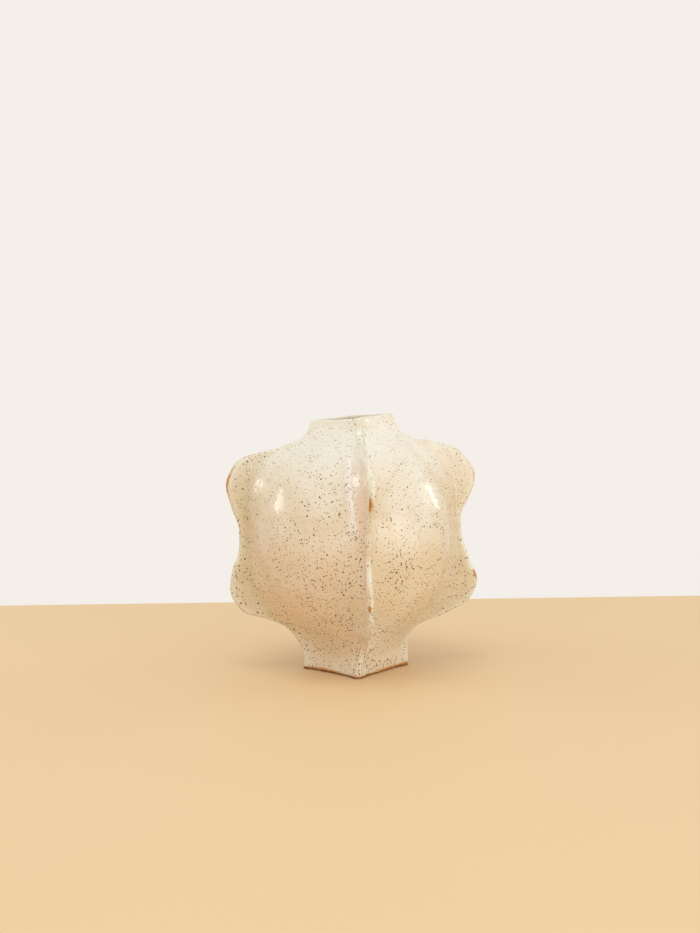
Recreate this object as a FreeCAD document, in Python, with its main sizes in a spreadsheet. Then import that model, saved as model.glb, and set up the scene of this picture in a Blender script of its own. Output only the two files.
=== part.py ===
import FreeCAD, Part
import math
import os

import Sketcher

# Pillow vase: four bulging clay slabs whose scalloped edges are pinched together in pairs
# into four fins, standing on a square base slab. Millimetres, +Z up, origin at the middle
# of the foot. The panels face -Y (front), +X (right), +Y (back) and -X (left), and the fins
# stand on the diagonals between them.

os.makedirs("parts", exist_ok=True)
doc = FreeCAD.newDocument("pillow_vase")

SIZES = {
    "vase_height": 230.0,
    "foot_side": 66.5,
    "mouth_side": 51.0,
    "base_thickness": 5.0,
    "wall": 5.0,
    "lip_thickness": 3.1,
    "lip_bevel": 1.3,
    "belly_height": 118.0,
    "body_radius": 88.5,
    "crease_depth": 3.0,
    "fin_foot_reach": 48.2,
    "ankle_round": 28.0,
    "lower_lobe_reach": 120.0,
    "lower_lobe_round": 27.5,
    "waist_reach": 97.3,
    "waist_round": 38.0,
    "upper_lobe_reach": 124.6,
    "upper_lobe_round": 30.2,
    "neck_reach": 40.0,
    "neck_round": 24.5,
    "fin_mouth_reach": 36.8,
    "seam_coil_radius": 3.5,
    "base_coil_radius": 4.5,
    "coil_gap": 1.0,
    "coil_top_setback": 30.0,
    "corner_ease": 0.8,
    "cut_overrun": 6.0,
}

# The swelling of the pillow, station by station. Each row holds the height as a share of
# the stretch from the foot (or the mouth) to the belly, then how far the crease line and
# the middle of the panel have swelled from the square towards their belly sizes.
LOWER_SHARES = (
    (0.000, 0.000, 0.000),
    (0.110, 0.000, 0.004),
    (0.186, 0.037, 0.052),
    (0.254, 0.111, 0.140),
    (0.322, 0.210, 0.257),
    (0.390, 0.325, 0.392),
    (0.458, 0.435, 0.532),
    (0.534, 0.559, 0.669),
    (0.619, 0.713, 0.790),
    (0.712, 0.844, 0.882),
    (0.847, 0.947, 0.960),
    (1.000, 1.000, 1.000),
)
UPPER_SHARES = (
    (0.884, 0.987, 0.990),
    (0.759, 0.953, 0.963),
    (0.652, 0.895, 0.918),
    (0.554, 0.814, 0.852),
    (0.464, 0.722, 0.768),
    (0.384, 0.618, 0.663),
    (0.312, 0.496, 0.529),
    (0.250, 0.375, 0.392),
    (0.196, 0.265, 0.271),
    (0.143, 0.161, 0.159),
    (0.071, 0.055, 0.048),
    (0.000, 0.000, 0.000),
)
# The inside is shaped in flat facets, sixteen around, and its corners are eased in this
# proportion to the facets beside them.
FACET_ANGLE = 22.5
CORNER_EASE_SHARE = 1.4
COIL_SIDES = 8

PANEL_ANGLES = {"front_panel": -90.0, "right_panel": 0.0, "back_panel": 90.0, "left_panel": 180.0}
FIN_ANGLES = {"front_fin": -45.0, "right_fin": 45.0, "back_fin": 135.0, "left_fin": -135.0}
SEAM_ANGLE = 45.0
UP = FreeCAD.Vector(0, 0, 1)

sheet = doc.addObject("Spreadsheet::Sheet", "Sizes")
for row, (name, value) in enumerate(SIZES.items(), start=1):
    sheet.set(f"A{row}", name)
    sheet.set(f"B{row}", str(value))
    sheet.setAlias(f"B{row}", name)
doc.recompute()


def size(name):
    return float(sheet.get(name))


def turned(angle):
    return FreeCAD.Placement(FreeCAD.Vector(0, 0, 0), FreeCAD.Rotation(UP, angle))


def stations():
    """Height, crease radius and reach of the panel's middle at each station, foot to mouth."""
    belly = size("belly_height")
    body = size("body_radius")
    crease = body - size("crease_depth")
    foot = size("foot_side") / 2
    mouth = size("mouth_side") / 2
    top = size("vase_height")
    rows = []
    for share, crease_share, swell_share in LOWER_SHARES:
        corner = foot * math.sqrt(2)
        rows.append((belly * share, corner + (crease - corner) * crease_share,
                     foot + (body - foot) * swell_share))
    for share, crease_share, swell_share in UPPER_SHARES:
        corner = mouth * math.sqrt(2)
        rows.append((top - (top - belly) * share, corner + (crease - corner) * crease_share,
                     mouth + (body - mouth) * swell_share))
    return rows


def inner_stations():
    """The same stations for the inside of the wall, whose level width grows where it slopes."""
    rows = stations()
    inner = []
    for index, (height, crease, middle) in enumerate(rows):
        below = rows[max(index - 1, 0)]
        above = rows[min(index + 1, len(rows) - 1)]
        slope = (above[2] - below[2]) / (above[0] - below[0])
        width = size("wall") * math.sqrt(1 + slope ** 2)
        inner.append((height, crease - width * math.sqrt(2), middle - width))
    return inner


def bowed_square(height, crease, middle):
    """A closed level section: four bowed sides that meet on the creases."""
    half = crease / math.sqrt(2)
    edges = []
    for angle in PANEL_ANGLES.values():
        spin = FreeCAD.Rotation(UP, angle)
        poles = [FreeCAD.Vector(half, -half, height), FreeCAD.Vector(2 * middle - half, 0, height),
                 FreeCAD.Vector(half, half, height)]
        curve = Part.BezierCurve()
        curve.setPoles([spin.multVec(pole) for pole in poles])
        edges.append(curve.toShape())
    return Part.Wire(edges)


def faceted_ring(height, crease, middle):
    """The inside's level corners: a polygon whose sides keep their directions at each height."""
    half = crease / math.sqrt(2)
    bow = middle - half
    turn = math.radians(FACET_ANGLE)
    ease = size("corner_ease")
    if half * math.tan(turn) < 2 * bow:
        flank = middle * math.cos(turn) + (half * math.sin(turn)) ** 2 / (4 * bow * math.cos(turn))
    else:
        flank = half * (math.cos(turn) + math.sin(turn))
    reaches = [middle, flank - ease, crease - CORNER_EASE_SHARE * ease, flank - ease] * len(PANEL_ANGLES)
    points = []
    for index, reach in enumerate(reaches):
        sideways = (reaches[index - 1] - reach * math.cos(turn)) / math.sin(turn)
        spin = FreeCAD.Rotation(UP, FACET_ANGLE * index)
        points.append(spin.multVec(FreeCAD.Vector(reach, -sideways, height)))
    return points


def rope_ring(height, crease, middle):
    """The level corners of a rope of clay up the seam at +X, laid on the inside's eased corner."""
    radius = size("seam_coil_radius")
    centre = FreeCAD.Vector(crease - CORNER_EASE_SHARE * size("corner_ease"), 0, height)
    points = []
    for index in range(COIL_SIDES):
        spin = FreeCAD.Rotation(UP, 360 * (index + 0.5) / COIL_SIDES)
        points.append(centre + spin.multVec(FreeCAD.Vector(radius, 0, 0)))
    return points


def outer_loft(name):
    """The swelling outside, lofted straight from each bowed section to the next."""
    sections = []
    for index, row in enumerate(stations()):
        section = doc.addObject("Part::Feature", f"{name}_section_{index + 1}")
        section.Shape = bowed_square(*row)
        sections.append(section)
    loft = doc.addObject("Part::Loft", name)
    loft.Sections = sections
    loft.Solid = True
    loft.Ruled = True
    return loft


def polygon_face(points):
    return Part.Face(Part.makePolygon(points + points[:1]))


def flat_faced(name, rings):
    """A solid of flat faces through level rings whose sides keep their directions."""
    faces = [polygon_face(rings[0]), polygon_face(rings[-1])]
    for lower, upper in zip(rings, rings[1:]):
        for index in range(len(lower)):
            faces.append(polygon_face([lower[index - 1], lower[index], upper[index], upper[index - 1]]))
    solid = Part.Solid(Part.Shell(faces))
    if solid.Volume < 0:
        solid.reverse()
    item = doc.addObject("Part::Feature", name)
    item.Shape = solid
    return item


def make_cavity(name):
    """The hollow, carried past the foot and the mouth so that it cuts them cleanly."""
    rows = inner_stations()
    foot = rows[0]
    mouth = rows[-1]
    overrun = size("cut_overrun")
    rows[0] = (foot[0] - overrun, foot[1], foot[2])
    rows[-1] = (mouth[0] + overrun, mouth[1], mouth[2])
    return flat_faced(name, [faceted_ring(*row) for row in rows])


def fillet_arc(before, corner, after, radius):
    """The arc that rounds a corner of an outline, and whether it turns clockwise."""
    first = (before - corner).normalize()
    second = (after - corner).normalize()
    half_angle = first.getAngle(second) / 2
    setback = radius / math.tan(half_angle)
    centre = corner + (first + second).normalize() * (radius / math.sin(half_angle))
    start = corner + first * setback
    end = corner + second * setback
    clockwise = (corner - before).cross(after - corner).z < 0
    low, high = (end, start) if clockwise else (start, end)
    circle = Part.Circle(centre, UP, radius)
    arc = Part.ArcOfCircle(circle, circle.parameter(low), circle.parameter(high))
    return arc, start, end, clockwise


# The scalloped edge of one fin, from the axis out along the foot, up and back to the axis.
# Each corner names its reach, its height as a share of the vase's, the size that rounds it,
# and the most that this rounding may be, also as a share of the vase's height.
FIN_CORNER_SHARES = (
    (None, 0.0, None, 0.0),
    ("fin_foot_reach", 0.0, None, 0.0),
    ("fin_foot_reach", 0.1483, "ankle_round", 0.1218),
    ("lower_lobe_reach", 0.2622, "lower_lobe_round", 0.1197),
    ("waist_reach", 0.5609, "waist_round", 0.1653),
    ("upper_lobe_reach", 0.8257, "upper_lobe_round", 0.1314),
    ("neck_reach", 0.9230, "neck_round", 0.1066),
    ("fin_mouth_reach", 1.0, None, 0.0),
    (None, 1.0, None, 0.0),
)


def bind(sketch, constraint, expression):
    """Adds a dimension to a sketch and ties it to the sheet by an expression."""
    index = sketch.addConstraint(constraint)
    sketch.setExpression(f"Constraints[{index}]", expression)


def pin(sketch, geometry, end, corner):
    """Holds one point of a sketch at a corner's reach and height."""
    reach, share = corner[:2]
    height = size("vase_height") * share
    if reach:
        bind(sketch, Sketcher.Constraint("DistanceX", -1, 1, geometry, end, size(reach)), f"Sizes.{reach}")
    else:
        sketch.addConstraint(Sketcher.Constraint("PointOnObject", geometry, end, -2))
    if share:
        rule = f"Sizes.vase_height * {share}"
        bind(sketch, Sketcher.Constraint("DistanceY", -1, 1, geometry, end, height), rule)
    else:
        sketch.addConstraint(Sketcher.Constraint("PointOnObject", geometry, end, -1))


def fin_template():
    """The sketch of the scalloped template, with its corners held by dimensions."""
    sketch = doc.addObject("Sketcher::SketchObject", "fin_template")
    top = size("vase_height")
    corners = [FreeCAD.Vector(size(reach) if reach else 0, top * share, 0)
               for reach, share, rounding, most in FIN_CORNER_SHARES]
    count = len(corners)
    arcs = {}
    for index in range(count):
        rounding, most = FIN_CORNER_SHARES[index][2:]
        if rounding:
            arcs[index] = fillet_arc(corners[index - 1], corners[index],
                                     corners[(index + 1) % count], min(size(rounding), top * most))
    lines = []
    for index in range(count):
        following = (index + 1) % count
        start = arcs[index][2] if index in arcs else corners[index]
        end = arcs[following][1] if following in arcs else corners[following]
        lines.append(sketch.addGeometry(Part.LineSegment(start, end)))
    for index in range(count):
        arriving = lines[index - 1]
        leaving = lines[index]
        corner = FIN_CORNER_SHARES[index]
        if index not in arcs:
            sketch.addConstraint(Sketcher.Constraint("Coincident", arriving, 2, leaving, 1))
            pin(sketch, leaving, 1, corner)
            continue
        arc, start, end, clockwise = arcs[index]
        first, last = (2, 1) if clockwise else (1, 2)
        curve = sketch.addGeometry(arc)
        point = sketch.addGeometry(Part.Point(corners[index]), True)
        sketch.addConstraint(Sketcher.Constraint("Tangent", arriving, 2, curve, first))
        sketch.addConstraint(Sketcher.Constraint("Tangent", leaving, 1, curve, last))
        sketch.addConstraint(Sketcher.Constraint("PointOnObject", point, 1, arriving))
        sketch.addConstraint(Sketcher.Constraint("PointOnObject", point, 1, leaving))
        pin(sketch, point, 1, corner)
        rule = f"min(Sizes.{corner[2]}; Sizes.vase_height * {corner[3]})"
        bind(sketch, Sketcher.Constraint("Radius", curve, min(size(corner[2]), top * corner[3])), rule)
    return sketch


def lip_edges(shape):
    """Numbers of the long edges of a fin's rim, which are bevelled by finger and sponge."""
    half = size("lip_thickness")
    numbers = []
    for number, edge in enumerate(shape.Edges, start=1):
        box = edge.BoundBox
        on_face = abs(abs(box.YMin) - half) < 1e-6 and abs(box.YMax - box.YMin) < 1e-6
        outside = box.XMax > size("fin_mouth_reach") - 1e-6
        level = box.ZMax - box.ZMin < 1e-6
        if on_face and outside and not level:
            numbers.append(number)
    return numbers


def make_fin(template, name, angle):
    """Two lips pinched together: the template padded to both sides of the seam plane."""
    plate = doc.addObject("Part::Extrusion", name)
    plate.Base = template
    plate.DirMode = "Normal"
    plate.Solid = True
    plate.Symmetric = True
    plate.setExpression("LengthFwd", "2 * Sizes.lip_thickness")
    doc.recompute()
    bevelled = doc.addObject("Part::Chamfer", f"{name}_bevelled")
    bevelled.Base = plate
    bevelled.Edges = [(number, size("lip_bevel"), size("lip_bevel")) for number in lip_edges(plate.Shape)]
    bevelled.Placement = turned(angle)
    return bevelled


def make_block(name, angle, low, high):
    """A block over one quarter of the vase, between two seam planes and two heights."""
    block = doc.addObject("Part::Box", name)
    block.setExpression("Length", "Sizes.upper_lobe_reach")
    block.setExpression("Width", "Sizes.upper_lobe_reach")
    block.setExpression("Height", f"{high} - {low}")
    block.Placement = turned(angle)
    block.setExpression("Placement.Base.z", low)
    return block


def join(kind, name, shapes):
    result = doc.addObject(kind, name)
    result.Shapes = shapes
    return result


def make_seam_coil(name, angle):
    """A coil of clay pressed on the seam of two slabs from within, trimmed by their walls."""
    rope = flat_faced(f"{name}_rope", [rope_ring(*row) for row in inner_stations()])
    rope.Placement = turned(angle)
    low = "(Sizes.base_thickness + Sizes.base_coil_radius + Sizes.coil_gap)"
    high = "(Sizes.vase_height - Sizes.coil_top_setback)"
    block = make_block(f"{name}_block", angle - SEAM_ANGLE, low, high)
    return join("Part::MultiCommon", name, [rope, cavity, block])


def make_base_coil(name):
    """A coil of clay smoothed into the square corner between the walls and the base."""
    ropes = []
    for panel, angle in PANEL_ANGLES.items():
        rope = doc.addObject("Part::Cylinder", f"{panel}_foot_rope")
        rope.setExpression("Radius", "Sizes.base_coil_radius")
        rope.setExpression("Height", "Sizes.foot_side")
        reach = size("foot_side") / 2
        centre = FreeCAD.Vector(reach - size("wall"), reach, size("base_thickness"))
        across = FreeCAD.Rotation(FreeCAD.Vector(1, 0, 0), 90)
        rope.Placement = turned(angle).multiply(FreeCAD.Placement(centre, across))
        ropes.append(rope)
    ring = join("Part::MultiFuse", f"{name}_ring", ropes)
    floor = doc.addObject("Part::Box", f"{name}_block")
    floor.setExpression("Length", "Sizes.foot_side")
    floor.setExpression("Width", "Sizes.foot_side")
    floor.setExpression("Height", "Sizes.base_coil_radius")
    floor.setExpression("Placement.Base.x", "-Sizes.foot_side / 2")
    floor.setExpression("Placement.Base.y", "-Sizes.foot_side / 2")
    floor.setExpression("Placement.Base.z", "Sizes.base_thickness")
    return join("Part::MultiCommon", name, [ring, cavity, floor])


outer_pillow = outer_loft("outer_pillow")
cavity = make_cavity("cavity")
template = fin_template()
upright = FreeCAD.Rotation(FreeCAD.Vector(1, 0, 0), 90)
template.Placement = FreeCAD.Placement(FreeCAD.Vector(0, 0, 0), upright)
fins = [make_fin(template, name, angle) for name, angle in FIN_ANGLES.items()]
outside = join("Part::MultiFuse", "outside", [outer_pillow] + fins)
walls = doc.addObject("Part::Cut", "walls")
walls.Base = outside
walls.Tool = cavity

pieces = []
for name, angle in PANEL_ANGLES.items():
    block = make_block(f"{name}_block", angle - SEAM_ANGLE, "Sizes.base_thickness", "Sizes.vase_height")
    pieces.append(join("Part::MultiCommon", name, [walls, block]))
base_block = doc.addObject("Part::Box", "base_block")
base_block.setExpression("Length", "2 * Sizes.fin_foot_reach")
base_block.setExpression("Width", "2 * Sizes.fin_foot_reach")
base_block.setExpression("Height", "Sizes.base_thickness")
base_block.setExpression("Placement.Base.x", "-Sizes.fin_foot_reach")
base_block.setExpression("Placement.Base.y", "-Sizes.fin_foot_reach")
pieces.append(join("Part::MultiCommon", "base_slab", [outside, base_block]))
pieces.append(make_base_coil("base_coil"))
for name, angle in FIN_ANGLES.items():
    pieces.append(make_seam_coil(name.replace("_fin", "_seam_coil"), angle))
doc.recompute()

for item in doc.Objects:
    if "Invalid" in item.State or "Error" in item.State:
        raise RuntimeError(f"{item.Name} failed: {item.State}")
for piece in pieces:
    piece.Label = piece.Name
    shape = piece.Shape
    if shape.isNull() or not shape.isValid() or len(shape.Solids) != 1:
        raise RuntimeError(f"{piece.Label} is not one valid solid")
    shape.exportStep(f"parts/{piece.Label}.step")
    box = shape.optimalBoundingBox()
    print(f"{piece.Label}: {shape.Volume / 1000:.1f} cm3, {len(shape.Faces)} faces, "
          f"z {box.ZMin:.1f} to {box.ZMax:.1f}")
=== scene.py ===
import math

import bpy
import numpy as np
from mathutils import Matrix, Vector


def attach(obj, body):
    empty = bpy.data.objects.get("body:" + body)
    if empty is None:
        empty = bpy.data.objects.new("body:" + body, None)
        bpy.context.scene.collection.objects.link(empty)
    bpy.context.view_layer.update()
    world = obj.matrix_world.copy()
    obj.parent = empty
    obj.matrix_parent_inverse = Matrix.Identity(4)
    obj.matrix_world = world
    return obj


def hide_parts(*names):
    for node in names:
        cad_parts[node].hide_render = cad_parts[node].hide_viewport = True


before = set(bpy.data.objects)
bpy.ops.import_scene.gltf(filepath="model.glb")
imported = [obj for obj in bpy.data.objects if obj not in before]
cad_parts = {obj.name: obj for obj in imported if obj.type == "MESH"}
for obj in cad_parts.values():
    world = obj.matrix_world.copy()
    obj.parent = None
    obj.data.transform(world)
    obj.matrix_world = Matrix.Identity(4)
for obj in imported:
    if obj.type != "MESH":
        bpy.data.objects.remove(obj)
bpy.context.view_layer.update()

# Sizes of the vase are in millimetres and become metres when a mesh is made.
MM = 0.001
TOP = 230.0
BASE = 5.0
WALL = 5.0
LIP = 3.1
RIM_ROUND = 2.5
SKIN_TOP = TOP - RIM_ROUND
DIAGONAL = math.sqrt(0.5)

# The swelling body at each height: how far its creases reach on the diagonals (the left one
# has its own row), how far the middles of the panels reach, and how full the panels are.
HEIGHTS = (0, 14, 30, 45, 62, 84, 118, 145, 168, 187, 202, 214, 222, 230)
CREASES = (47.0, 47.0, 51.3, 59.0, 68.0, 79.5, 85.5, 83.2, 76.3, 66.6, 54.6, 44.0, 38.8, 36.06)
LEFT_CREASES = (47.0, 47.0, 52.5, 61.5, 70.0, 80.6, 84.6, 83.2, 79.6, 71.8, 58.2, 45.0, 38.8, 36.06)
MIDDLES = (33.25, 33.5, 41.0, 54.0, 69.5, 82.0, 88.5, 86.2, 79.2, 67.3, 50.2, 35.5, 28.5, 25.5)
FULLNESS = (2.0, 2.0, 2.0, 2.2, 2.4, 2.5, 2.6, 2.6, 2.5, 2.4, 2.2, 2.0, 2.0, 2.0)

# The way each panel and each fin faces, in degrees, and the two fins of each panel.
PANEL_ANGLES = {"front_panel": -90.0, "right_panel": 0.0, "back_panel": 90.0, "left_panel": 180.0}
FIN_ANGLES = {"front": -45.0, "right": 45.0, "back": 135.0, "left": -135.0}
PANEL_FINS = {
    "front_panel": ("left", "front"),
    "right_panel": ("front", "right"),
    "back_panel": ("right", "back"),
    "left_panel": ("back", "left"),
}
# The scalloped edge of each fin: its reach at the foot, then reach, height and rounding of
# the ankle, lower lobe, waist, upper lobe and neck, and its reach at the mouth.
FIN_OUTLINES = {
    "left": (47.6, ((47.6, 34.8, 36.4), (120.9, 60.2, 27.8), (99.7, 122.8, 66.4),
                    (122.6, 187.5, 29.8), (35.8, 215.0, 23.1)), 36.9),
    "right": (48.6, ((48.6, 33.8, 21.1), (120.5, 60.6, 27.8), (94.5, 130.8, 31.6),
                     (126.3, 193.1, 30.3), (37.3, 211.3, 26.5)), 36.4),
    "front": (48.2, ((48.2, 29.5, 26.0), (119.6, 61.5, 30.0), (97.3, 128.0, 40.0),
                     (124.9, 188.5, 31.0), (40.0, 212.5, 24.0)), 36.6),
    "back": (48.2, ((48.2, 35.0, 28.0), (119.0, 61.5, 28.0), (98.0, 127.0, 44.0),
                    (123.5, 189.0, 30.0), (39.0, 213.0, 25.0)), 36.6),
}
# How far each fin's edge leans sideways, anticlockwise seen from above, at these heights.
LEAN_HEIGHTS = (0, 6, 28, 42, 60, 78, 100, 123, 136, 166, 185, 209, 217, 230)
FIN_LEANS = {
    "front": (-2.0, -1.6, 2.8, 4.8, 4.7, 4.2, 3.6, 3.9, 4.8, 7.0, 5.6, 4.2, 3.7, 3.0),
    "right": (0.0, 0.0, 0.5, 1.0, 1.5, 1.2, 0.2, -0.8, -1.0, 0.4, 1.4, 1.0, 0.4, 0.0),
    "back": (0.0, 0.0, -0.8, -1.6, -2.4, -2.0, -0.6, 0.8, 1.4, 2.0, 1.6, 0.6, 0.2, 0.0),
    "left": (0.0, 0.0, -0.4, -0.8, -1.4, -1.6, -1.0, 0.0, 0.6, 1.2, 1.0, 0.4, 0.0, 0.0),
}
# The mouth's slope, the direction it rises in, and how far its middle sinks.
MOUTH_SLOPE = 0.078
MOUTH_RISES = math.radians(39.9)
MOUTH_SINKS = 1.2

# How much a row of points follows the scallops of a fin's edge, and how much more it does so
# where the fin is narrower than a given width. The rest of the row lies level.
EDGE_PULL = 0.45
NARROW_PULL = 0.5
NARROW_FIN = 9.0
# The heights between which the body swells out and goes back in, and the heights between
# which its lower part gives way to its upper part.
SWOLLEN = (26, 82, 188, 224)
UPPER_PART = (108, 150)
# The rounding of the fins' edges, the waist of the front fin, and how much thinner it is there.
EDGE_ROUND = 3.0
FRONT_WAIST = (32, 58, 122, 150)
FRONT_THINNED = 0.24
# How a panel runs into a fin: how far beside the fin its trough lies, how far up the fin the
# slab climbs at most, and how crisp the trough is. Pairs that aren't listed have a plain fold.
PLAIN_FOLD = (0.0, 14.0, 0.5)
FOLDS = {
    ("front_panel", "front"): (8.0, 25.0, 0.9),
    ("front_panel", "left"): (0.0, 26.0, 0.52),
    ("right_panel", "right"): (0.0, 22.0, 0.5),
    ("back_panel", "back"): (4.0, 20.0, 0.7),
}
# How far from each fin the swelling of a panel starts to sweep out into it, low and high up,
# how far where the vase is narrow, and the most it can be as a share of the way to the middle.
SWEEPS = {
    ("front_panel", "left"): (42.0, 46.0),
    ("front_panel", "front"): (28.0, 26.0),
    ("right_panel", "front"): (22.0, 20.0),
    ("right_panel", "right"): (44.0, 26.0),
    ("back_panel", "right"): (30.0, 24.0),
    ("back_panel", "back"): (26.0, 22.0),
    ("left_panel", "back"): (26.0, 24.0),
    ("left_panel", "left"): (30.0, 26.0),
}
NARROW_SWEEP = 8.0
WIDEST_SWEEP = 0.78
# How deep the slow dents of hand-formed clay are.
DENTS = 1.2

# The base slab's side: heights, and how far it lies in there from the walls above it.
FOOT_LEVELS = ((0.0, 1.1), (0.25, 0.45), (0.8, 0.08), (1.6, 0.0), (2.6, 0.0), (3.8, 0.0),
               (BASE, 0.0))
# The hidden coils: their radii, the heights between which the seam coils run, and the half
# width and corner rounding of the square that the base coil follows.
SEAM_COIL_RADIUS = 3.2
SEAM_COIL_ENDS = (12.5, 198.0)
BASE_COIL_RADIUS = 4.0
BASE_COIL_HALF = 28.0
BASE_COIL_CORNER = 4.0

# Where the glaze has broken to rusty clay on a fin's edge: height, half length, the side of
# the fin (1 anticlockwise seen from above, -1 clockwise, 0 both) and strength.
RUST = {
    "front": ((161.5, 7.0, -1, 0.9), (74.5, 4.5, -1, 0.9), (224.0, 3.0, -1, 0.4),
              (168.0, 18.0, 1, 0.42)),
    "left": ((172.0, 20.0, 0, 0.66), (196.0, 5.0, 0, 0.4), (58.0, 7.0, 0, 0.3)),
    "right": ((82.5, 6.0, 0, 0.85), (175.0, 12.0, 0, 0.5), (197.0, 5.0, 0, 0.3)),
    "back": ((160.0, 8.0, 0, 0.7), (66.0, 6.0, 1, 0.7), (190.0, 3.0, 0, 0.5)),
}
# How tan each panel is low down, from thin glaze and a painted warm reflection of the table,
#  how olive it is on each fin, low and high up, and how pink it is in the valley beside each fin.
TAN_AND_REFLECTION_AMOUNTS = {"front_panel": 1.0, "right_panel": 0.4, "back_panel": 0.8, "left_panel": 0.7}
OLIVE_FINS = {"front": (0.0, 0.0), "right": (0.5, 0.4), "back": (0.6, 0.6), "left": (0.6, 1.0)}
PINCHED = {
    ("front_panel", "left"): 0.15,
    ("front_panel", "front"): 0.8,
    ("right_panel", "front"): 0.1,
    ("right_panel", "right"): 0.2,
    ("back_panel", "right"): 0.5,
    ("back_panel", "back"): 0.4,
    ("left_panel", "back"): 0.5,
    ("left_panel", "left"): 0.2,
}
# A distance that no mask reaches, for points on the inside.
FAR = 60.0

# How finely the clay is drawn: rows from the foot to the rim, steps across half a row, steps
# over the rim, steps round a corner of a fin, steps that measure the body, and steps along
# and round a coil. An edge between faces looks sharp above the angle.
ROWS = 190
MIDDLE_STEPS = 22
VALLEY_STEPS = 16
FACE_STEPS = 8
EDGE_STEPS = 7
COLUMNS = 2 * (MIDDLE_STEPS + VALLEY_STEPS + FACE_STEPS + EDGE_STEPS) + 1
RIM_STEPS = 9
CORNER_STEPS = 24
BODY_STEPS = 120
COIL_STEPS = 60
COIL_SIDES = 16
SHARP_ANGLE = math.radians(60)


def follow(xs, ys, x):
    """A smooth line through a few given points that never overshoots them."""
    xs = np.asarray(xs, float)
    ys = np.asarray(ys, float)
    x = np.clip(np.asarray(x, float), xs[0], xs[-1])
    rise = np.diff(ys) / np.diff(xs)
    slope = np.zeros(len(xs))
    turning = rise[:-1] * rise[1:] <= 0
    total = np.where(turning, 1.0, rise[:-1] + rise[1:])
    slope[1:-1] = np.where(turning, 0.0, 2 * rise[:-1] * rise[1:] / total)
    slope[-1] = rise[-1]
    i = np.clip(np.searchsorted(xs, x, side="right") - 1, 0, len(xs) - 2)
    step = xs[i + 1] - xs[i]
    t = (x - xs[i]) / step
    return (ys[i] * (2 * t**3 - 3 * t**2 + 1) + slope[i] * step * (t**3 - 2 * t**2 + t)
            + ys[i + 1] * (3 * t**2 - 2 * t**3) + slope[i + 1] * step * (t**3 - t**2))


def ease(low, high, x):
    """0 below low, 1 above high, and a soft step between them."""
    t = np.clip((np.asarray(x, float) - low) / (high - low), 0, 1)
    return t * t * (3 - 2 * t)


def band(low, full, fading, gone, x):
    """1 between full and fading, easing to 0 at low and at gone."""
    return ease(low, full, x) * (1 - ease(fading, gone, x))


def bell(x, middle, half_width):
    """1 at the middle, fading softly on both sides."""
    return np.exp(-((x - middle) / half_width) ** 2)


def turned(x, y, angle):
    """A place turned anticlockwise round the middle, seen from above."""
    return x * math.cos(angle) - y * math.sin(angle), x * math.sin(angle) + y * math.cos(angle)


def crease_reach(fin, z):
    return follow(HEIGHTS, LEFT_CREASES if fin == "left" else CREASES, z)


def middle_slope(z):
    """How fast the middle of a panel moves outward with height."""
    return (follow(HEIGHTS, MIDDLES, z + 2) - follow(HEIGHTS, MIDDLES, z - 2)) / 4


def even_z(row):
    """The height of a row if all rows were level and evenly spread."""
    return BASE + (SKIN_TOP - BASE) * row / (ROWS - 1)


def rounded(stops):
    """A flat line through stops, which give a place and the rounding of the line there."""
    line = [stops[0, :2]]
    for before, corner, after in zip(stops, stops[1:], stops[2:]):
        point, rounding = corner[:2], corner[2]
        back = before[:2] - point
        on = after[:2] - point
        back /= np.linalg.norm(back)
        on /= np.linalg.norm(on)
        half = math.acos(float(back @ on)) / 2
        centre = point + (back + on) / np.linalg.norm(back + on) * rounding / math.sin(half)
        start = point + back * rounding / math.tan(half) - centre
        sweep = math.pi - 2 * half
        if start[1] * back[0] - start[0] * back[1] < 0:
            sweep = -sweep
        for angle in np.linspace(0, sweep, CORNER_STEPS):
            line.append(centre + turned(*start, angle))
    line.append(stops[-1, :2])
    return np.array(line)


def outline(fin):
    """The scalloped edge of a fin as evenly spaced reach and height, with its outward normal."""
    foot, corners, mouth = FIN_OUTLINES[fin]
    neck, neck_z, _ = corners[-1]
    above = TOP + 20
    beyond = neck + (mouth - neck) * (above - neck_z) / (TOP - neck_z)
    line = rounded(np.array([(foot, BASE, 0.0), *corners, (beyond, above, 0.0)]))
    last = int(np.argmax(line[:, 1] > SKIN_TOP))
    below, over = line[last - 1], line[last]
    cut = (SKIN_TOP - below[1]) / (over[1] - below[1])
    line = np.concatenate([line[:last], [below + (over - below) * cut]])
    length = np.concatenate(([0], np.cumsum(np.linalg.norm(np.diff(line, axis=0), axis=1))))
    even = np.linspace(0, length[-1], ROWS)
    edge = np.stack([np.interp(even, length, line[:, k]) for k in (0, 1)], axis=1)
    for _ in range(3):
        edge[1:-1] = (edge[:-2] + 2 * edge[1:-1] + edge[2:]) / 4
    along = np.gradient(edge, axis=0)
    along /= np.linalg.norm(along, axis=1)[:, None]
    normal = np.stack([along[:, 1], -along[:, 0]], axis=1)
    # The slabs were cut by hand, so the edge wavers, but not where it meets foot and rim.
    waver = 0.45 * np.sin(even / 8.3 + 3 * foot) + 0.3 * np.sin(even / 4.1 + 5 * mouth)
    free = ease(0, 25, even) * ease(0, 18, length[-1] - even)
    return edge + normal * (waver * free)[:, None], normal


OUTLINES = {fin: outline(fin) for fin in FIN_ANGLES}


def split(points):
    """How far a panel's points lie along the diagonal of its fin, and how far beside it."""
    return (points[:, 0] + points[:, 1]) * DIAGONAL, (points[:, 0] - points[:, 1]) * DIAGONAL


def on_fin(along, beside, z):
    """A panel's points from their places along the diagonal of its fin, beside it and up."""
    return np.stack([(along + beside) * DIAGONAL, (along - beside) * DIAGONAL, z], axis=1)


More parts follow.
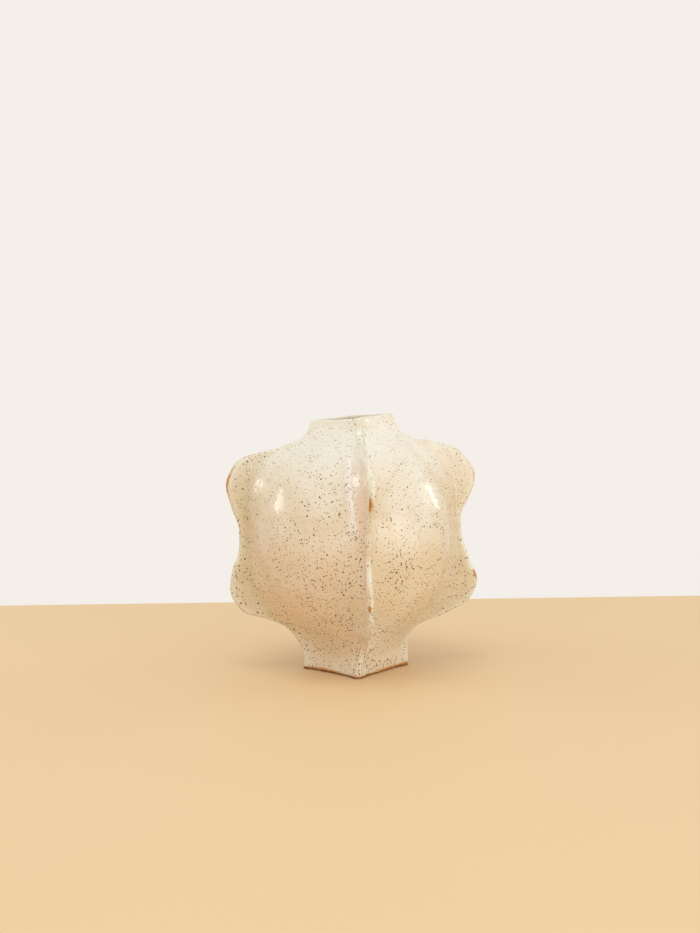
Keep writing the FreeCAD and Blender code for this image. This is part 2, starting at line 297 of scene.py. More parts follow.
def half_row(panel, fin, row, middle_z):
    """Half a row of a panel, from its middle to the edge of one fin, and its inner half.

    Local axes: outward, sideways to this fin, up. Also gives each point's distance from the
    fin's edge and from the crease, which is below zero on the swelling side.
    """
    edge_line, normals = OUTLINES[fin]
    reach, edge_z = edge_line[row]
    normal = normals[row]
    fin_width = max(reach - float(crease_reach(fin, edge_z)), 0.0)
    pull = EDGE_PULL + NARROW_PULL * math.exp(-((fin_width / NARROW_FIN) ** 2))
    crease_z = pull * edge_z + (1 - pull) * even_z(row)

    def body(t, inset=0.0):
        """The swelling body from the middle of the panel, t = 0, to its corner, t = 1."""
        z = middle_z + (crease_z - middle_z) * t
        corner = crease_reach(fin, z) * DIAGONAL
        middle = follow(HEIGHTS, MIDDLES, z)
        width = inset * np.sqrt(1 + middle_slope(z) ** 2)
        out = middle - width - (middle - corner) * t ** follow(HEIGHTS, FULLNESS, z)
        return np.stack([out, (corner - width) * t, z], axis=1)

    dense_t = np.linspace(0, 1, BODY_STEPS + 1)
    along, beside = split(body(dense_t))
    away = beside - LIP
    crease = float(np.interp(0, away[::-1], along[::-1]))

    def t_at(distance):
        """Where the body is this far away from the face of the fin."""
        return float(np.interp(distance, away[::-1], dense_t[::-1]))

    # The body as far as the place where it starts to sweep out into the fin.
    room = max(reach - crease, 1.5)
    low, high = SWEEPS[panel, fin]
    fold, longest, crisp = FOLDS.get((panel, fin), PLAIN_FOLD)
    grown = float(band(*SWOLLEN, crease_z))
    sweep = low + (high - low) * float(ease(*UPPER_PART, crease_z))
    sweep = NARROW_SWEEP + (sweep - NARROW_SWEEP) * grown
    sweep = (sweep**-4 + (WIDEST_SWEEP * away[0]) ** -4) ** -0.25
    last_t = t_at(sweep)
    t = np.linspace(0, 1, MIDDLE_STEPS + 1) * last_t
    swell = body(t)

    # The flat face of the fin and its rounded edge. The front fin is thinner at its waist.
    thick = LIP
    if fin == "front":
        thick *= 1 - FRONT_THINNED * float(band(*FRONT_WAIST, edge_z))
    rounding = min(EDGE_ROUND, 0.4 * room)
    climb = longest * (1 - math.exp(-0.8 * room / longest))
    face_start = crease + climb
    face_z = crease_z + (edge_z - crease_z) * climb / room
    inner_edge = np.array([reach, edge_z]) - normal * rounding
    s = np.linspace(0, 1, FACE_STEPS + 1)
    face = on_fin(face_start + (inner_edge[0] - face_start) * s, thick,
                  face_z + (inner_edge[1] - face_z) * s)
    bend = np.linspace(0, math.pi / 2, EDGE_STEPS + 1)[1:]
    tip = inner_edge + normal * (rounding * np.sin(bend))[:, None]
    lip = on_fin(tip[:, 0], thick * np.cos(bend), tip[:, 1])

    # The valley between them, which goes on the way the body was heading, past the trough.
    start, stop = swell[-1], face[0]
    trough = body(np.array([t_at(min(fold * grown, 0.6 * sweep))]))[0]
    before, after = body(np.array([last_t - 0.01, last_t + 0.01]))
    heading = (after - before) / np.linalg.norm(after - before)
    crisp *= 0.35 + 0.65 * min(grown * 2, 1)
    leaving = start + heading * np.linalg.norm(trough - start) * crisp
    arriving = stop + (trough - stop) * crisp
    s = np.linspace(0, 1, VALLEY_STEPS + 1)[1:, None]
    valley = (start * (1 - s) ** 3 + 3 * leaving * s * (1 - s) ** 2
              + 3 * arriving * s**2 * (1 - s) + stop * s**3)

    outer = np.concatenate([swell, valley, face[1:], lip])
    inner = body(np.concatenate([t, np.linspace(last_t, 1, len(outer) - len(t) + 1)[1:]]), WALL)

    count = len(t)
    along, beside = split(outer)
    from_edge = np.hypot(np.maximum(reach - along, 0), np.maximum(beside - LIP, 0) * 2)
    from_edge[count:] = np.linalg.norm(
        np.stack([along[count:], outer[count:, 2]], axis=1) - edge_line[row], axis=1)
    from_crease = np.where(np.arange(len(outer)) < count, LIP - beside, along - crease)
    from_crease[count:count + VALLEY_STEPS] = np.linspace(
        from_crease[count - 1], face_start - crease, VALLEY_STEPS + 1)[1:]
    return outer, inner, from_edge, from_crease


def panel_row(panel, row):
    """One row of a panel from fin to fin: outer, inner, and distances from edge and crease."""
    middle_z = 0.0
    for fin in PANEL_FINS[panel]:
        edge_z = OUTLINES[fin][0][row, 1]
        middle_z += (EDGE_PULL * edge_z + (1 - EDGE_PULL) * even_z(row)) / 2
    first, second = (half_row(panel, fin, row, middle_z) for fin in PANEL_FINS[panel])
    mirror = np.array([1, -1, 1])
    first = (first[0] * mirror, first[1] * mirror, first[2], first[3])
    return [np.concatenate([one[::-1], other[1:]]) for one, other in zip(first, second)]


def to_world(points, panel):
    x, y = turned(points[:, 0], points[:, 1], math.radians(PANEL_ANGLES[panel]))
    return np.stack([x, y, points[:, 2]], axis=1)


def lean(points):
    """Bends the fins sideways, tilts the mouth and gives the clay its hand-formed waver."""
    x, y, z = points.T
    reach = np.hypot(x, y)
    angle = np.degrees(np.arctan2(y, x))
    shift = np.zeros_like(points)
    for fin, fin_angle in FIN_ANGLES.items():
        beside = np.radians((angle - fin_angle + 180) % 360 - 180) * reach
        near = 1 - ease(4, 26, np.abs(beside))
        # The bend sets in softly just inside the crease and grows to the fin's edge, but at the
        # foot and the neck, where there is hardly any fin, it takes the whole corner along.
        edge_reach, edge_z = OUTLINES[fin][0].T
        edge = np.interp(z, np.maximum.accumulate(edge_z), edge_reach)
        crease = crease_reach(fin, z)
        grip = np.clip((reach - crease + 5) / np.maximum(edge - crease + 5, 10), 0, 1)
        grip = (np.sqrt(grip**2 + 0.01) - 0.1) / 0.905
        narrow = 1 - band(8, 40, 205, 222, z)
        grip = grip * (1 - narrow) + ease(20, 46, reach) * narrow
        amount = follow(LEAN_HEIGHTS, FIN_LEANS[fin], z) * near * grip
        shift[:, 0] -= math.sin(math.radians(fin_angle)) * amount
        shift[:, 1] += math.cos(math.radians(fin_angle)) * amount
    dents = (0.55 * np.sin(x / 23 + 0.8) * np.sin(y / 19 + 2.1) * np.sin(z / 21 + 0.3)
             + 0.30 * np.sin(x / 11 + z / 13 + 1.7) * np.sin(y / 12 - z / 17))
    dents *= ease(3, 30, z)
    shift[:, 0] += dents * x / np.maximum(reach, 1) * DENTS
    shift[:, 1] += dents * y / np.maximum(reach, 1) * DENTS
    across = x * math.cos(MOUTH_RISES) + y * math.sin(MOUTH_RISES)
    shift[:, 2] += (MOUTH_SLOPE * across - MOUTH_SINKS) * ease(190, 229, z)
    shift[:, 2] += 0.5 * np.sin(x / 7 + 1.0) * np.sin(y / 8 + 0.4) * ease(215, 229, z)
    return points + shift


def glaze_masks(panel, points, side, from_edge, from_crease, outside):
    """How the glaze lies: pooled white, thin over clay, olive on the fins, rusty at breaks, with a
    painted highlight in the front fold and a painted warm reflection low on the body.

    side is 0 for points nearer the panel's first fin and 1 for those nearer its second.
    """
    z = points[:, 2]
    rust, olive, pinched, fold_pool_and_painted_highlight = np.zeros((4, len(points)))
    less_tan = np.ones(len(points))
    on_face = ease(-6, 16, from_crease)
    edge = bell(from_edge, 0, 4.5)
    for index, fin in enumerate(PANEL_FINS[panel]):
        here = side == index
        low, high = OLIVE_FINS[fin]
        shade = low + (high - low) * ease(100, 150, z)
        olive = np.where(here, on_face * (1 - 0.85 * edge) * shade, olive)
        # The valley beside the fin is pinker than the rest and less tan.
        pink = PINCHED[panel, fin]
        before_crease = bell(from_crease, -6, 13.0) * band(25, 75, 205, 225, z)
        less_tan = np.where(here, less_tan - pink * before_crease, less_tan)
        beyond_crease = bell(from_crease, 14, 14.0) * band(40, 90, 200, 220, z)
        pinched = np.where(here, pink * beyond_crease, pinched)
        if fin == "front":
            # Little glaze hangs on this edge near the foot. Its deep fold gets a white streak,
            # partly glaze pooled thick there and partly a painted highlight.
            edge = np.where(here, edge * (0.35 + 0.65 * ease(25, 55, z)), edge)
            if panel == "front_panel":
                trough = bell(from_crease, 0, 4.2) * band(128, 142, 194, 206, z)
                fold_pool_and_painted_highlight = np.where(here, 0.85 * trough, 0.0)
        # A panel is on the anticlockwise side of its first fin.
        other_side = 1 if index else -1
        for height, half_length, mark_side, strength in RUST[fin]:
            if mark_side == other_side:
                continue
            across = (from_edge - 1.4) / 1.5 if mark_side else from_edge / 2.9
            mark = strength * np.exp(-(((z - height) / half_length) ** 2 + across**2))
            rust = np.maximum(rust, np.where(here, mark, 0))
    # Tan low on the body: thin glaze over clay, and partly a painted warm reflection and shade from
    # the table below.
    tan = (1 - ease(70, 175, z)) * (0.45 + 0.55 * ease(5, 70, z)) * (1 - 0.6 * on_face)
    tan *= TAN_AND_REFLECTION_AMOUNTS[panel] * less_tan
    if panel == "front_panel":
        # The lower half of this panel's swelling is pinkish too.
        lower_half = 0.45 * (1 - ease(90, 170, z)) * ease(5, 60, z) * (1 - on_face)
        pinched = np.maximum(pinched, lower_half)
    masks = {"pool": 0.9 * ease(150, 226, z), "edge_pool": 0.7 * edge, "tan": tan,
             "pinched": pinched, "fold_pool_and_painted_highlight": fold_pool_and_painted_highlight, "olive": olive, "rust": rust,
             "edge_line": bell(from_edge, 0, 1.3)}
    return {name: np.where(outside, mask, 0.0) for name, mask in masks.items()}


def make_mesh(name, points, faces, flat_faces=()):
    mesh = bpy.data.meshes.new(name)
    mesh.from_pydata((points * MM).tolist(), [], faces)
    smooth = np.ones(len(faces), bool)
    smooth[list(flat_faces)] = False
    mesh.polygons.foreach_set("use_smooth", smooth)
    mesh.validate()
    mesh.update()
    mesh.set_sharp_from_angle(angle=SHARP_ANGLE)
    piece = bpy.data.objects.new(name, mesh)
    bpy.context.scene.collection.objects.link(piece)
    return piece


def grid_faces(rows, columns, closed_rows, closed_columns):
    """The faces of a grid of points, which may run on from its last row or column to its first."""
    faces = []
    for i in range(rows if closed_rows else rows - 1):
        above = (i + 1) % rows
        for j in range(columns if closed_columns else columns - 1):
            after = (j + 1) % columns
            faces.append((i * columns + j, i * columns + after,
                          above * columns + after, above * columns + j))
    return faces


def add_masks(piece, masks):
    for name, mask in masks.items():
        layer = piece.data.attributes.new(name, "FLOAT", "POINT")
        layer.data.foreach_set("value", np.asarray(mask, np.float32))


def make_panel(panel):
    """A closed slab: outer skin, rounded rim, inner skin and the two faces of its seams."""
    rows = [panel_row(panel, row) for row in range(ROWS)]
    outer, inner, from_edge, from_crease = map(np.array, zip(*rows))
    centre = (outer[-1] + inner[-1]) / 2
    rim = []
    for angle in np.linspace(0, math.pi, RIM_STEPS + 2)[1:-1]:
        out = math.copysign(abs(math.cos(angle)) ** 0.7, math.cos(angle))
        ring = centre + (outer[-1] - centre) * out
        ring[:, 2] = outer[-1][:, 2] + RIM_ROUND * math.sin(angle) ** 0.8
        rim.append(ring)
    loop = np.concatenate([outer, rim, inner[::-1]])
    height = len(loop)
    world = lean(to_world(loop.reshape(-1, 3), panel))

    faces = grid_faces(height, COLUMNS, True, False)
    first_flat = len(faces) - (COLUMNS - 1)
    seam = [(i, i + 1, height - 2 - i, height - 1 - i) for i in range(ROWS - 1)]
    seam.append(range(ROWS - 1, ROWS + RIM_STEPS + 1))
    for column, order in ((0, 1), (COLUMNS - 1, -1)):
        faces += [tuple(i * COLUMNS + column for i in rows)[::order] for rows in seam]
    piece = make_mesh(f"glazed_{panel}", world, faces, range(first_flat, len(faces)))

    def over_rim(distances, inside):
        """Distances for the whole slab: the rim repeats those of the top row."""
        rim = np.repeat(distances[-1:], RIM_STEPS, axis=0)
        return np.concatenate([distances, rim, np.full_like(distances, inside)]).reshape(-1)

    place = np.arange(len(world))
    outside = place < (ROWS + RIM_STEPS // 2) * COLUMNS
    side = np.where(place % COLUMNS < COLUMNS // 2, 0, 1)
    add_masks(piece, glaze_masks(panel, world, side, over_rim(from_edge, FAR),
                                 over_rim(from_crease, -FAR), outside))
    return piece


def make_base():
    """The base slab under the walls, with a softened lower edge."""
    side = np.where(np.arange(COLUMNS - 1) < COLUMNS // 2, 0, 1)
    ring = []
    parts = []
    for panel in PANEL_ANGLES:
        outer, _, from_edge, from_crease = panel_row(panel, 0)
        ring.append(to_world(outer, panel)[:-1])
        parts.append(glaze_masks(panel, ring[-1], side, from_edge[:-1], from_crease[:-1], True))
    ring = np.concatenate(ring)
    reach = np.hypot(ring[:, 0], ring[:, 1])[:, None]
    points = []
    for z, inset in FOOT_LEVELS:
        level = ring.copy()
        level[:, :2] *= 1 - inset / reach
        level[:, 2] = z
        points.append(level)
    count = len(ring)
    levels = len(points)
    faces = [tuple(range(count))[::-1], *grid_faces(levels, count, False, True),
             tuple(range((levels - 1) * count, levels * count))]
    piece = make_mesh("foot_slab", lean(np.concatenate(points)), faces, (0, len(faces) - 1))
    masks = {name: np.concatenate([part[name] for part in parts]) for name in parts[0]}
    add_masks(piece, {name: np.tile(mask, levels) for name, mask in masks.items()})
    return piece


def make_rope(name, line, radius, closed):
    """A pressed roll of clay along a line, as a tube with a little waver."""
    line = np.asarray(line, float)
    count = len(line)
    if closed:
        along = np.roll(line, -1, axis=0) - np.roll(line, 1, axis=0)
    else:
        along = np.gradient(line, axis=0)
    along /= np.linalg.norm(along, axis=1)[:, None]
    points = []
    for i, (place, heading) in enumerate(zip(line, along)):
        if closed:
            up = np.array([0, 0, 1.0])
        else:
            up = np.array([-place[1], place[0], 0]) / np.hypot(place[0], place[1])
        across = np.cross(heading, up)
        across /= np.linalg.norm(across)
        up = np.cross(across, heading)
        swell = radius * (1 + 0.05 * math.sin(i * 0.9) + 0.04 * math.sin(i * 0.37 + 1))
        for k in range(COIL_SIDES):
            angle = 2 * math.pi * k / COIL_SIDES
            points.append(place + swell * (math.cos(angle) * across + math.sin(angle) * up))
    faces = grid_faces(count, COIL_SIDES, closed, True)
    if not closed:
        faces.append(tuple(range(COIL_SIDES))[::-1])
        faces.append(tuple(range((count - 1) * COIL_SIDES, count * COIL_SIDES)))
    return make_mesh(name, np.array(points), faces)


def make_seam_coil(fin):
    """The roll pressed into the crevice inside a seam, from the base to the neck."""
    z = np.linspace(*SEAM_COIL_ENDS, COIL_STEPS)
    wall = WALL * np.sqrt(1 + middle_slope(z) ** 2) * math.sqrt(2)
    reach = follow(HEIGHTS, CREASES, z) - wall - 1.1
    x, y = turned(reach, 0, math.radians(FIN_ANGLES[fin]))
    return make_rope(f"seam_roll_{fin}", np.stack([x, y, z], axis=1), SEAM_COIL_RADIUS, False)


def make_base_coil():
    """The roll smoothed into the square corner between the base and the walls."""
    straight = BASE_COIL_HALF - BASE_COIL_CORNER
    side = [(BASE_COIL_HALF, y) for y in np.linspace(-straight, straight, 14)]
    bend = [(straight + BASE_COIL_CORNER * math.cos(angle),
             straight + BASE_COIL_CORNER * math.sin(angle))
            for angle in np.linspace(0, math.pi / 2, 5)[1:-1]]
    line = [(*turned(x, y, math.radians(90 * quarter)), BASE + 0.4)
            for quarter in range(4) for x, y in side + bend]
    return make_rope("foot_roll", line, BASE_COIL_RADIUS, True)


# Finishes. Each group gives only masks and heights; the shader stays in the material.


def add(tree, kind, inputs=None, **settings):
    """A node with its settings and input values, where a socket links and anything else is set."""
    node = tree.nodes.new(kind)
    for name, value in settings.items():
        setattr(node, name, value)
    for name, value in (inputs or {}).items():
        if isinstance(value, bpy.types.NodeSocket):
            tree.links.new(value, node.inputs[name])
        else:
            node.inputs[name].default_value = value
    return node


def maths(tree, operation, first, second=0.0, third=0.0):
    return add(tree, "ShaderNodeMath", {0: first, 1: second, 2: third},
               operation=operation).outputs[0]


def times(tree, first, second):
    return maths(tree, "MULTIPLY", first, second)


def blend(tree, factor, first, second):
    """From the first colour to the second as the factor goes from 0 to 1."""
    first, second = (colour if isinstance(colour, bpy.types.NodeSocket) else (*colour, 1)
                     for colour in (first, second))
    return add(tree, "ShaderNodeMix", {0: factor, 6: first, 7: second}, data_type="RGBA").outputs[2]


def span(tree, value, low, high, out_low=0.0, out_high=1.0):
    """Goes softly from out_low to out_high as the value goes from low to high."""
    return add(tree, "ShaderNodeMapRange", {0: value, 1: low, 2: high, 3: out_low, 4: out_high},
               interpolation_type="SMOOTHSTEP").outputs[0]


def noise(tree, place, scale, detail=3.0, roughness=0.55, distortion=0.0):
    settings = {"Vector": place, "Scale": scale, "Detail": detail, "Roughness": roughness,
                "Distortion": distortion}
    return add(tree, "ShaderNodeTexNoise", settings).outputs["Fac"]


def attribute(tree, name):
    return add(tree, "ShaderNodeAttribute", attribute_name=name).outputs["Fac"]


def new_group(name, inputs, outputs):
    group = bpy.data.node_groups.new(name, "ShaderNodeTree")
    for label, kind, default in inputs:
        socket = group.interface.new_socket(name=label, in_out="INPUT", socket_type=kind)
        if default is not None:
            socket.default_value = default
    for label in outputs:
        group.interface.new_socket(name=label, in_out="OUTPUT", socket_type="NodeSocketFloat")
    return group, group.nodes.new("NodeGroupInput").outputs


def end_group(group, values):
    end = group.nodes.new("NodeGroupOutput")
    for name, value in values.items():
        group.links.new(value, end.inputs[name])
    return group


def place_group(tree, group, inputs):
    return add(tree, "ShaderNodeGroup", inputs, node_tree=group).outputs


# The iron specks: cells in a metre, radius in cells, softness of the edge and strength.
SPECK_SIZES = ((900.0, 0.30, 0.10, 0.8), (540.0, 0.37, 0.08, 1.0), (265.0, 0.235, 0.035, 1.0))


def speckle_group():
    """Iron specks of three sizes that bleed up through the glaze, with a pale ring round some."""
    group, given = new_group(
        "iron_specks", [("Place", "NodeSocketVector", None), ("Amount", "NodeSocketFloat", 1.0)],
        ["Specks", "Rings", "Tone"])
    crowd = span(group, noise(group, given["Place"], 38.0, 2.0), 0.32, 0.68, 0.84, 1.1)
    crowd = times(group, crowd, given["Amount"])
    specks = rings = 0.0
    for scale, radius, softness, share in SPECK_SIZES:
        cells = add(group, "ShaderNodeTexVoronoi",
                    {"Vector": given["Place"], "Scale": scale, "Randomness": 1.0},
                    feature="F1", voronoi_dimensions="3D")
        chance = add(group, "ShaderNodeSeparateColor", {"Color": cells.outputs["Color"]})
        reach = times(group, maths(group, "POWER", chance.outputs["Red"], 1.6), radius)
        reach = times(group, reach, crowd)
        inside = maths(group, "SUBTRACT", reach, cells.outputs["Distance"])
        speck = span(group, inside, -softness * 0.5, softness * 0.5, 0.0, share)
        ring = span(group, inside, -softness * 3.0, -softness * 0.5, 0.0, share)
        specks = maths(group, "MAXIMUM", specks, speck)
        rings = maths(group, "MAXIMUM", rings, ring)
    tone = noise(group, given["Place"], 160.0, 1.0)
    return end_group(group, {"Specks": specks, "Rings": rings, "Tone": tone})


def drift_group():
    """Soft drifts of thicker and thinner glaze, with faint runs down the walls."""
    group, given = new_group(
        "glaze_drift", [("Place", "NodeSocketVector", None)], ["Drift", "Mottle", "Runs"])
    place = given["Place"]
    stretched = add(group, "ShaderNodeMapping", {"Vector": place, "Scale": (1.0, 1.0, 0.22)})
    return end_group(group, {"Drift": noise(group, place, 17.0, 3.0, 0.5, 0.6),
                             "Mottle": noise(group, place, 75.0, 4.0, 0.6, 0.3),
                             "Runs": noise(group, stretched.outputs[0], 60.0, 2.0, 0.5, 0.2)})


def skin_group():
    """Height of a glazed, hand-smoothed surface: slow dents, orange peel and small pits."""
    group, given = new_group(
        "hand_smoothed_skin",
        [("Place", "NodeSocketVector", None), ("Specks", "NodeSocketFloat", 0.0)], ["Height"])
    dents = noise(group, given["Place"], 55.0, 2.0, 0.5)
    peel = times(group, noise(group, given["Place"], 420.0, 2.0, 0.5), 0.08)
    height = maths(group, "ADD", dents, peel)
    height = maths(group, "SUBTRACT", height, times(group, given["Specks"], 0.05))
    return end_group(group, {"Height": height})


SPECKS = speckle_group()
DRIFT = drift_group()
SKIN = skin_group()

CREAM = (0.72, 0.62, 0.45)
MILKY = (0.80, 0.77, 0.68)
# Thick pooled white, also used as a painted highlight in the front fold.
THICK_WHITE_AND_HIGHLIGHT = (0.88, 0.855, 0.81)
PALE_GREEN = (0.745, 0.735, 0.59)
TAN = (0.72, 0.55, 0.35)
PINKISH = (0.74, 0.56, 0.41)
OLIVE = (0.57, 0.465, 0.25)
RUSTY = (0.43, 0.175, 0.022)
RUST_FRINGE = (0.56, 0.28, 0.08)
SPECK_DARK = (0.060, 0.030, 0.012)
SPECK_BROWN = (0.22, 0.115, 0.045)
CLAY_DARK_AND_SHADE = (0.12, 0.042, 0.008)
CLAY_LIGHT = (0.50, 0.20, 0.04)

# The layers on the outer glaze in the order they are laid: mask, colour, and the drift that
# breaks the layer up with the values it goes between and the strength of the layer there.
OUTER_LAYERS = (
    ("tan", TAN, "Drift", (0.25, 0.72, 1.1, 0.6)),
    ("pinched", PINKISH, None, ()),
    ("olive", OLIVE, "Mottle", (0.34, 0.66, 1.15, 0.7)),
    ("pool", MILKY, "Runs", (0.3, 0.7, 0.72, 1.05)),
    ("edge_pool", PALE_GREEN, "Mottle", (0.36, 0.64, 1.1, 0.5)),
    # Partly glaze pooled in the front fold, partly a painted highlight.
    ("fold_pool_and_painted_highlight", THICK_WHITE_AND_HIGHLIGHT, None, ()),
)
SHINE = 0.15
BARE_ROUGHER = 0.45
INSIDE_ROUGHNESS = 0.3


def lay_outer_glaze(tree, colour, drift):
    for mask, layer, broken_by, strengths in OUTER_LAYERS:
        share = attribute(tree, mask)
        if broken_by:
            share = times(tree, share, span(tree, drift[broken_by], *strengths))
        colour = blend(tree, share, colour, layer)
    return colour


def bare_clay(tree, colour, place, height, drift):
    """Rusty breaks and bare clay along the foot, painted darker at its lower edge as contact
    shadow, and how rough the surface is there.
    """
    ragged = maths(tree, "SUBTRACT", noise(tree, place, 520.0, 3.0, 0.65), 0.5)
    worn = maths(tree, "MULTIPLY_ADD", ragged, 0.9, attribute(tree, "rust"))
    bare = span(tree, worn, 0.46, 0.62)
    line = span(tree, drift["Mottle"], 0.46, 0.66, 0.0, 0.22)
    line = times(tree, attribute(tree, "edge_line"), line)
    fringe = maths(tree, "MAXIMUM", line, span(tree, worn, 0.22, 0.50, 0.0, 0.75))
    colour = blend(tree, fringe, colour, RUST_FRINGE)
    colour = blend(tree, bare, colour, RUSTY)
    # The glaze ends in a wavering line a few millimetres above the table.
    waver = maths(tree, "SUBTRACT", noise(tree, place, 75.0, 3.0), 0.5)
    level = maths(tree, "MULTIPLY_ADD", waver, 0.0048, height)
    foot = span(tree, level, 0.0027, 0.0019)
    colour = blend(tree, span(tree, level, 0.0042, 0.0022, 0.0, 0.7), colour, RUST_FRINGE)
    grains_and_contact_shade = span(tree, noise(tree, place, 260.0, 4.0), 0.35, 0.65, 0.0, 0.5)
    # The bare clay is painted darker towards the table: painted contact shadow.
    grains_and_contact_shade = maths(tree, "ADD", grains_and_contact_shade, span(tree, height, 0.0007, 0.0026, 0.0, 0.6))
    colour = blend(tree, foot, colour, blend(tree, grains_and_contact_shade, CLAY_DARK_AND_SHADE, CLAY_LIGHT))
    roughness = maths(tree, "MULTIPLY_ADD", maths(tree, "MAXIMUM", bare, foot), BARE_ROUGHER, SHINE)
    return colour, maths(tree, "MULTIPLY_ADD", drift["Mottle"], 0.06, roughness)


def glaze(name, outside):
    """Cream glaze over speckled clay, for the outside down to the bare foot, and the inside."""
    material = bpy.data.materials.new(name)
    material.use_nodes = True
    tree = material.node_tree
    shader = tree.nodes["Principled BSDF"]
    place = add(tree, "ShaderNodeTexCoord").outputs["Object"]
    height = add(tree, "ShaderNodeSeparateXYZ", {"Vector": place}).outputs["Z"]
    drift = place_group(tree, DRIFT, {"Place": place})
    amount = span(tree, height, 0.09, 0.21, 1.1, 0.84)
    specks = place_group(tree, SPECKS, {"Place": place, "Amount": amount})
    colour = blend(tree, span(tree, drift["Drift"], 0.36, 0.70, 0.0, 0.75), CREAM, MILKY)
    if outside:
        colour = lay_outer_glaze(tree, colour, drift)
    else:
        colour = blend(tree, span(tree, height, 0.02, 0.2, 0.7, 0.1), colour, TAN)
    colour = blend(tree, span(tree, drift["Mottle"], 0.35, 0.75, 0.0, 0.22), colour, TAN)
    colour = blend(tree, times(tree, specks["Rings"], 0.14), colour, MILKY)
    tone = blend(tree, span(tree, specks["Tone"], 0.42, 0.74), SPECK_DARK, SPECK_BROWN)
    colour = blend(tree, times(tree, specks["Specks"], 0.97), colour, tone)
    if outside:
        colour, roughness = bare_clay(tree, colour, place, height, drift)
        tree.links.new(roughness, shader.inputs["Roughness"])
    else:
        shader.inputs["Roughness"].default_value = INSIDE_ROUGHNESS
    tree.links.new(colour, shader.inputs["Base Color"])
    shader.inputs["IOR"].default_value = 1.52
    skin = place_group(tree, SKIN, {"Place": place, "Specks": specks["Specks"]})
    bump = add(tree, "ShaderNodeBump",
               {"Strength": 0.55, "Distance": 0.0011, "Height": skin["Height"]})
    tree.links.new(bump.outputs["Normal"], shader.inputs["Normal"])
    return material


outside_glaze = glaze("cream_glaze_to_bare_foot", True)
inside_glaze = glaze("thin_inside_glaze", False)


def dress(piece, node, material):
    piece.data.materials.append(material)
    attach(piece, "root")
    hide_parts(node)


for panel in PANEL_ANGLES:
    dress(make_panel(panel), panel, outside_glaze)
dress(make_base(), "base_slab", outside_glaze)
dress(make_base_coil(), "base_coil", inside_glaze)
for fin in FIN_ANGLES:
    dress(make_seam_coil(fin), f"{fin}_seam_coil", inside_glaze)

# Camera, floor and light, in metres and radians.

CAMERA_AZIMUTH = math.radians(39.89)
CAMERA_DISTANCE = 1.17225
CAMERA_HEIGHT = 0.2848
CAMERA_TURN = 0.002
CAMERA_DIP = 0.0858
CAMERA_ROLL = -0.0148
FLOOR_HALF_WIDTH = 1.6
FLOOR_FRONT = -1.5
FLOOR_BACK = 0.32
FLOOR_COLOUR = (0.78, 0.56, 0.315, 1)
FLOOR_ROUGHNESS = 0.7
WALL_COLOUR = (0.905, 0.862, 0.81, 1)
ROOM_LIGHT = (0.98, 0.98, 0.97, 1)
ROOM_STRENGTH = 0.83


def from_camera(x, y, z):
    """A place given as right of, behind and above the vase, as the camera sees it."""
    right = Vector((math.cos(CAMERA_AZIMUTH), math.sin(CAMERA_AZIMUTH), 0))
    behind = Vector((-math.sin(CAMERA_AZIMUTH), math.cos(CAMERA_AZIMUTH), 0))
    return right * x + behind * y + Vector((0, 0, z))


camera_data = bpy.data.cameras.new("camera")
camera_data.lens = 50.16
camera_data.sensor_width = 36.0
camera = bpy.data.objects.new("camera", camera_data)
bpy.context.scene.collection.objects.link(camera)
camera.matrix_world = (Matrix.Translation(from_camera(0, -CAMERA_DISTANCE, CAMERA_HEIGHT))
                       @ Matrix.Rotation(CAMERA_AZIMUTH + CAMERA_TURN, 4, "Z")
                       @ Matrix.Rotation(math.pi / 2 - CAMERA_DIP, 4, "X")
                       @ Matrix.Rotation(CAMERA_ROLL, 4, "Z"))
bpy.context.scene.camera = camera

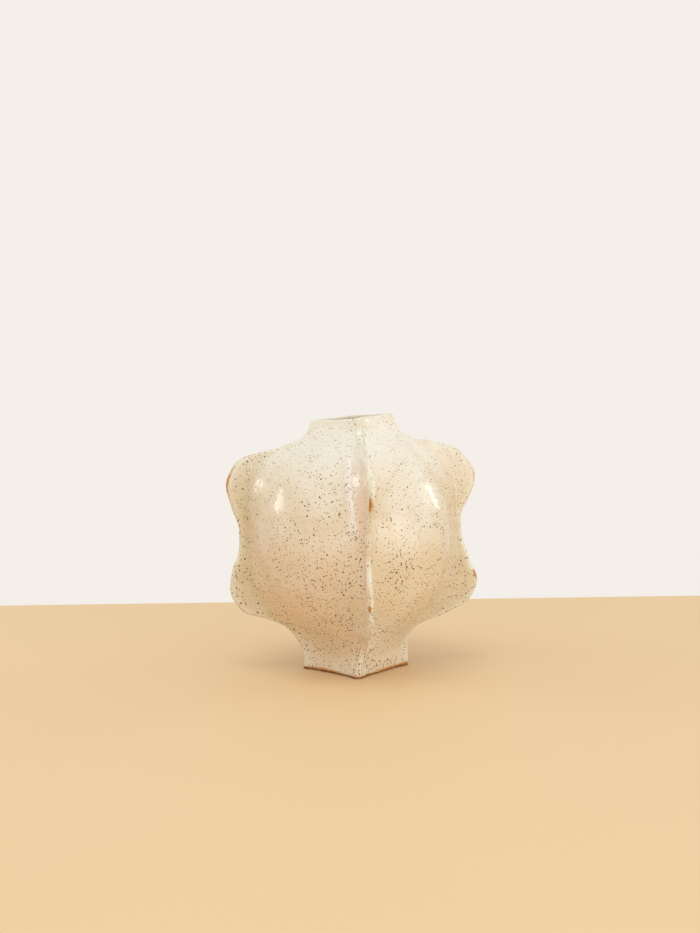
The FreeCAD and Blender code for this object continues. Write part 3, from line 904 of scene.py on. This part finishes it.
corners = [from_camera(x, y, 0) for x, y in (
    (-FLOOR_HALF_WIDTH, FLOOR_FRONT), (FLOOR_HALF_WIDTH, FLOOR_FRONT),
    (FLOOR_HALF_WIDTH, FLOOR_BACK), (-FLOOR_HALF_WIDTH, FLOOR_BACK))]
floor_mesh = bpy.data.meshes.new("floor")
floor_mesh.from_pydata([tuple(corner) for corner in corners], [], [(0, 1, 2, 3)])
floor = bpy.data.objects.new("floor", floor_mesh)
bpy.context.scene.collection.objects.link(floor)
table = bpy.data.materials.new("pale_table")
table.use_nodes = True
table_shader = table.node_tree.nodes["Principled BSDF"]
table_shader.inputs["Base Color"].default_value = FLOOR_COLOUR
table_shader.inputs["Roughness"].default_value = FLOOR_ROUGHNESS
floor_mesh.materials.append(table)

# The world lights the vase like a bright room, but looks like a plain wall in the picture.
world = bpy.data.worlds.new("studio")
world.use_nodes = True
bpy.context.scene.world = world
tree = world.node_tree
tree.nodes.clear()
path = add(tree, "ShaderNodeLightPath")
shown = maths(tree, "MAXIMUM", path.outputs["Is Camera Ray"], path.outputs["Is Glossy Ray"])
shown = maths(tree, "MAXIMUM", shown, path.outputs["Is Transmission Ray"])
seen = add(tree, "ShaderNodeBackground", {"Color": WALL_COLOUR, "Strength": 1.0})
lit = add(tree, "ShaderNodeBackground", {"Color": ROOM_LIGHT, "Strength": ROOM_STRENGTH})
mixed = add(tree, "ShaderNodeMixShader", {0: shown, 1: lit.outputs[0], 2: seen.outputs[0]})
add(tree, "ShaderNodeOutputWorld", {"Surface": mixed.outputs[0]})


def soft_light(name, place, target, width, height, power, colour):
    data = bpy.data.lights.new(name, "AREA")
    data.shape = "ELLIPSE"
    data.size = width
    data.size_y = height
    data.energy = power
    data.color = colour
    light = bpy.data.objects.new(name, data)
    bpy.context.scene.collection.objects.link(light)
    light.location = from_camera(*place)
    aim = from_camera(*target) - light.location
    light.rotation_euler = aim.to_track_quat("-Z", "Y").to_euler()


soft_light("window", (-1.42, 0.22, 0.54), (0, 0, 0.12), 0.46, 0.34, 2.1, (1.0, 0.985, 0.96))
soft_light("ceiling", (-0.2, -0.5, 1.9), (0, 0, 0.1), 1.2, 0.9, 7.3, (1.0, 0.985, 0.965))
soft_light("low_right", (1.3, -0.9, 0.12), (0, 0, 0.02), 1.6, 0.4, 2.1, (1.0, 0.985, 0.95))
soft_light("right_glow", (1.35, 0.55, 0.5), (0, 0, 0.12), 0.22, 0.45, 1.6, (1.0, 0.99, 0.98))
soft_light("low_fill", (0.6, -1.45, 0.26), (0, 0, 0.04), 2.4, 0.7, 6.6, (1.0, 0.99, 0.98))

bpy.context.scene.view_settings.view_transform = "Standard"
